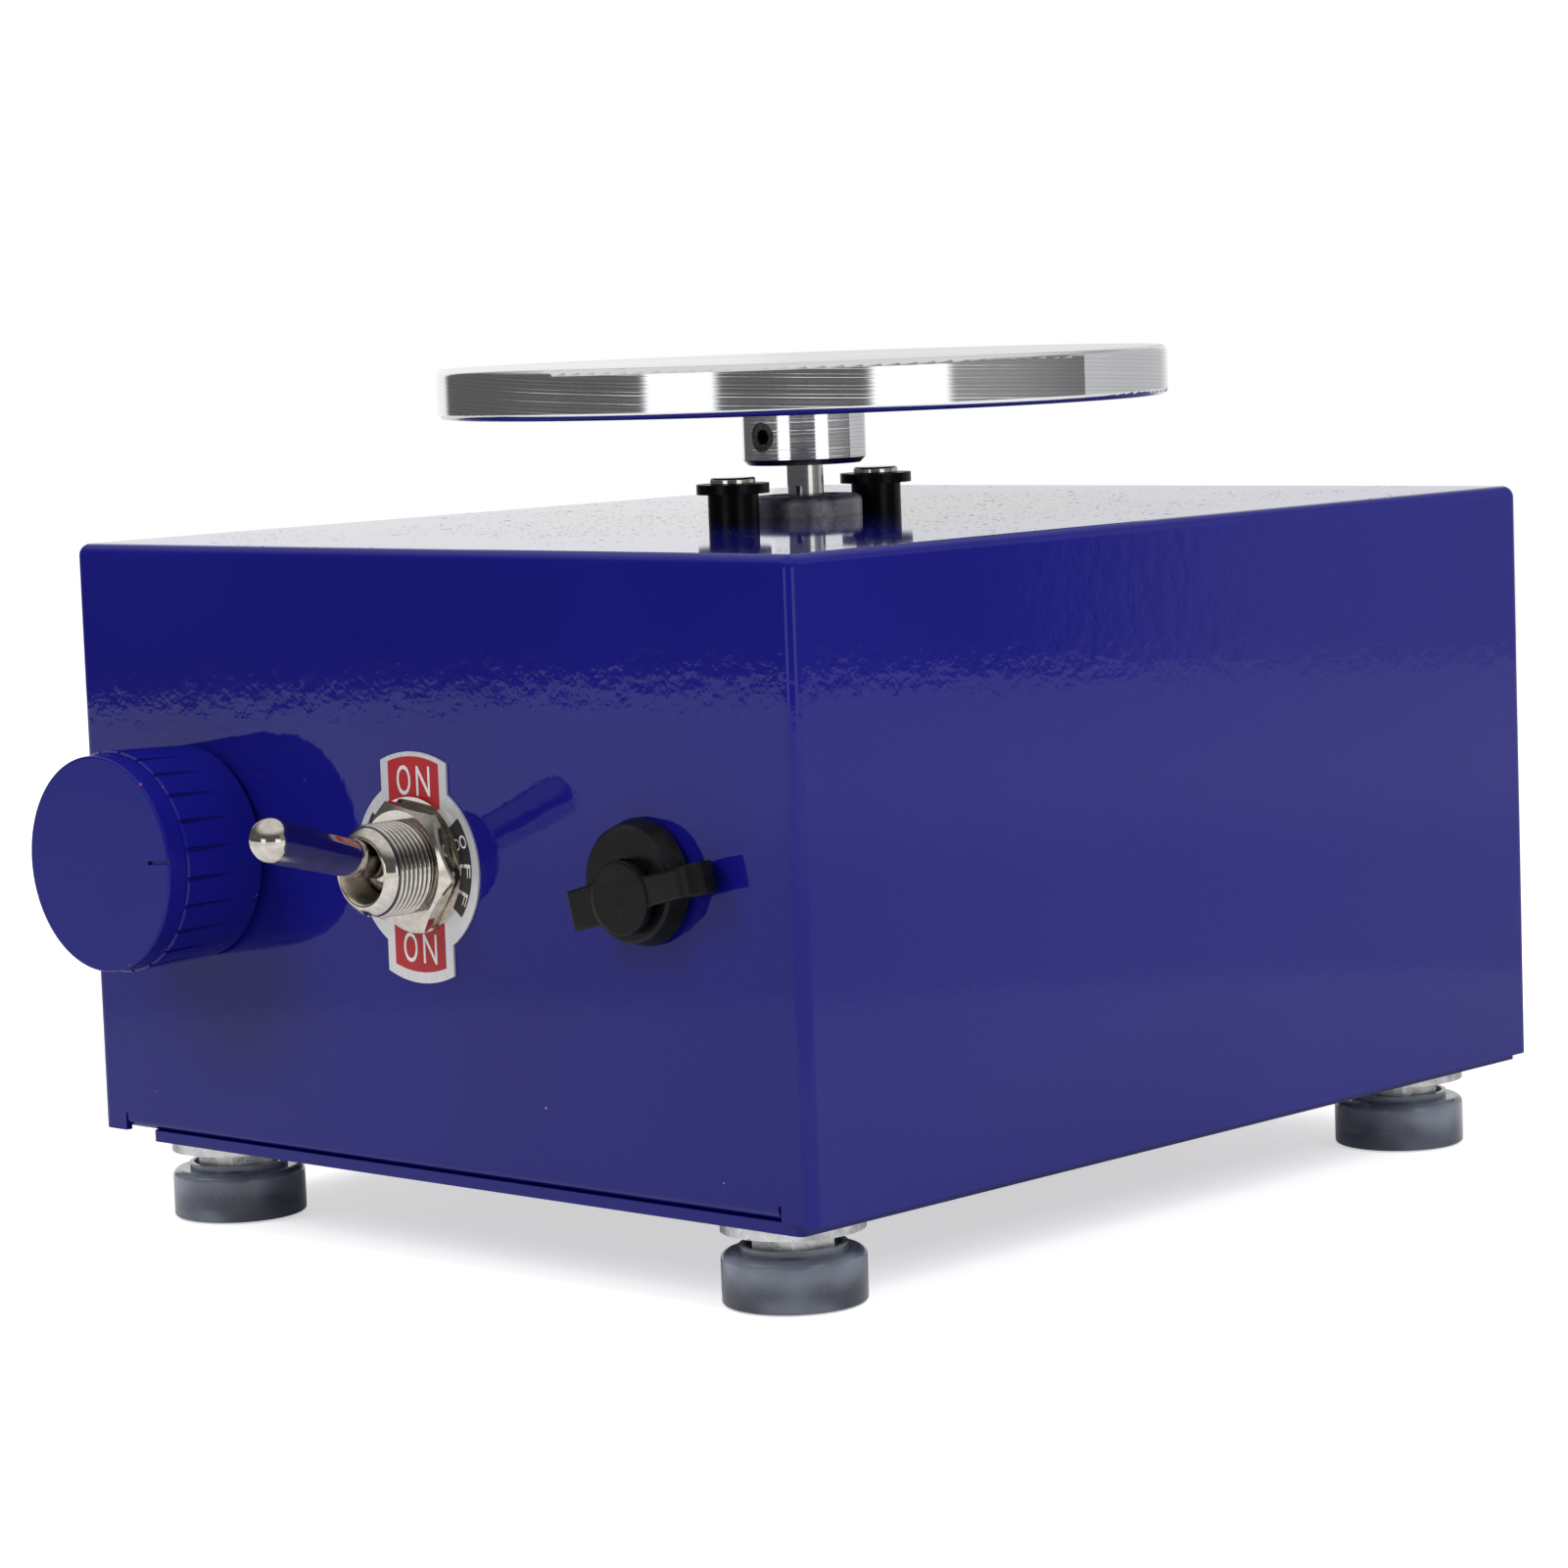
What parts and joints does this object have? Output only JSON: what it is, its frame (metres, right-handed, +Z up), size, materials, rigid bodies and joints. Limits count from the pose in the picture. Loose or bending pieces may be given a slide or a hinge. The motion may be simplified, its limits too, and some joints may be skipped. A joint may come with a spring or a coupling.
{
  "type": "mini pottery wheel",
  "caption": "Table-top pottery wheel: a bare metal turntable driven by a motor in a folded blue box, with a speed knob, a toggle switch and a power inlet.",
  "frame": {"origin": "on the ground under the feet, at the centre of the whole object's box", "axes": "+Z up along the turntable's axis, the control panel faces -Y, +X to the right seen from the panel's front"},
  "size_m": [0.132, 0.177, 0.1138],
  "materials": {
    "black_oxide": "black oxide",
    "black_oxide_aluminium": "black anodised",
    "black_plastic": "moulded",
    "black_rubber": "moulded",
    "block_green": "moulded",
    "blue_paint": "glossy enamel with a slight orange peel",
    "board_green": "solder mask",
    "bright_steel": "ground",
    "bronze": "plain",
    "carbon": "pressed carbon",
    "copper": "enamelled wire and bars",
    "ferrite": "sintered ferrite",
    "foot_vinyl": "smooth, slightly clear vinyl",
    "knob_paint": "satin coat with worn edges",
    "laminations": "stacked sheet steel",
    "legend_aluminium": "brushed and printed",
    "motor_case": "satin zinc",
    "nickel": "bright nickel",
    "turned_aluminium": "lathe turned",
    "zinc_plate": "dull zinc plate"
  },
  "bodies": {
    "base": {"board_capacitor": "black_plastic", "board_terminal_block": "block_green", "bottom_plate": "blue_paint", "brush_holders": "bronze", "cap_strap": "black_rubber", "casing_shell": "blue_paint", "foot_inner_nuts": "zinc_plate", "foot_jam_nuts": "zinc_plate", "foot_studs": "zinc_plate", "foot_washers": "zinc_plate", "jack_body": "black_plastic", "jack_nut": "nickel", "jack_pin": "nickel", "jack_terminals": "zinc_plate", "motor_brushes": "carbon", "motor_bush_front": "black_rubber", "motor_bush_rear": "black_rubber", "motor_can": "motor_case", "motor_end_cap": "black_plastic", "motor_front_bearing": "bright_steel", "motor_magnets": "ferrite", "motor_rear_bearing": "bronze", "motor_screws": "nickel", "motor_terminals": "bronze", "pot_body": "black_plastic", "pot_bush": "nickel", "pot_nut": "nickel", "pot_terminals": "zinc_plate", "pot_washer": "nickel", "power_transistor": "black_plastic", "rubber_foot_front_left": "foot_vinyl", "rubber_foot_front_right": "foot_vinyl", "rubber_foot_rear_left": "foot_vinyl", "rubber_foot_rear_right": "foot_vinyl", "speed_board": "board_green", "toggle_bush": "nickel", "toggle_housing": "black_plastic", "toggle_legend_plate": "legend_aluminium", "toggle_lock_washer": "nickel", "toggle_nut": "nickel", "toggle_terminals": "bronze", "toggle_washer": "nickel", "transistor_heat_sink": "black_oxide_aluminium"},
    "spindle": {"turntable": "turned_aluminium", "hub_set_screw": "black_oxide", "motor_shaft": "bright_steel", "motor_armature": "laminations", "armature_windings": "copper", "motor_commutator": "copper"},
    "knob": {"speed_knob": "knob_paint", "pot_shaft": "nickel"},
    "lever": {"toggle_lever": "nickel"},
    "dust_cap": {"dust_cap": "black_rubber"}
  },
  "joints": [
    {"name": "turntable_spin", "type": "hinge", "parent": "base", "child": "spindle", "pos_m": [0, 0.01352, 0.0922], "axis": [0, 0, 1], "continuous": true},
    {"name": "speed_turn", "type": "hinge", "parent": "base", "child": "knob", "pos_m": [-0.0435, -0.06148, 0.0516], "axis": [0, 1, 0], "range_deg": [-236, 64]},
    {"name": "lever_tilt", "type": "hinge", "parent": "base", "child": "lever", "pos_m": [0.0001, -0.06568, 0.0522], "axis": [1, 0, 0], "range_deg": [0, 32]},
    {"name": "cap_swing", "type": "hinge", "parent": "base", "child": "dust_cap", "pos_m": [0.05107, -0.0642, 0.05339], "axis": [-0.2419, 0, 0.9703], "range_deg": [0, 110], "stiffness_Nm_per_rad": 0.00005, "deforming": ["cap_strap"]}
  ]
}
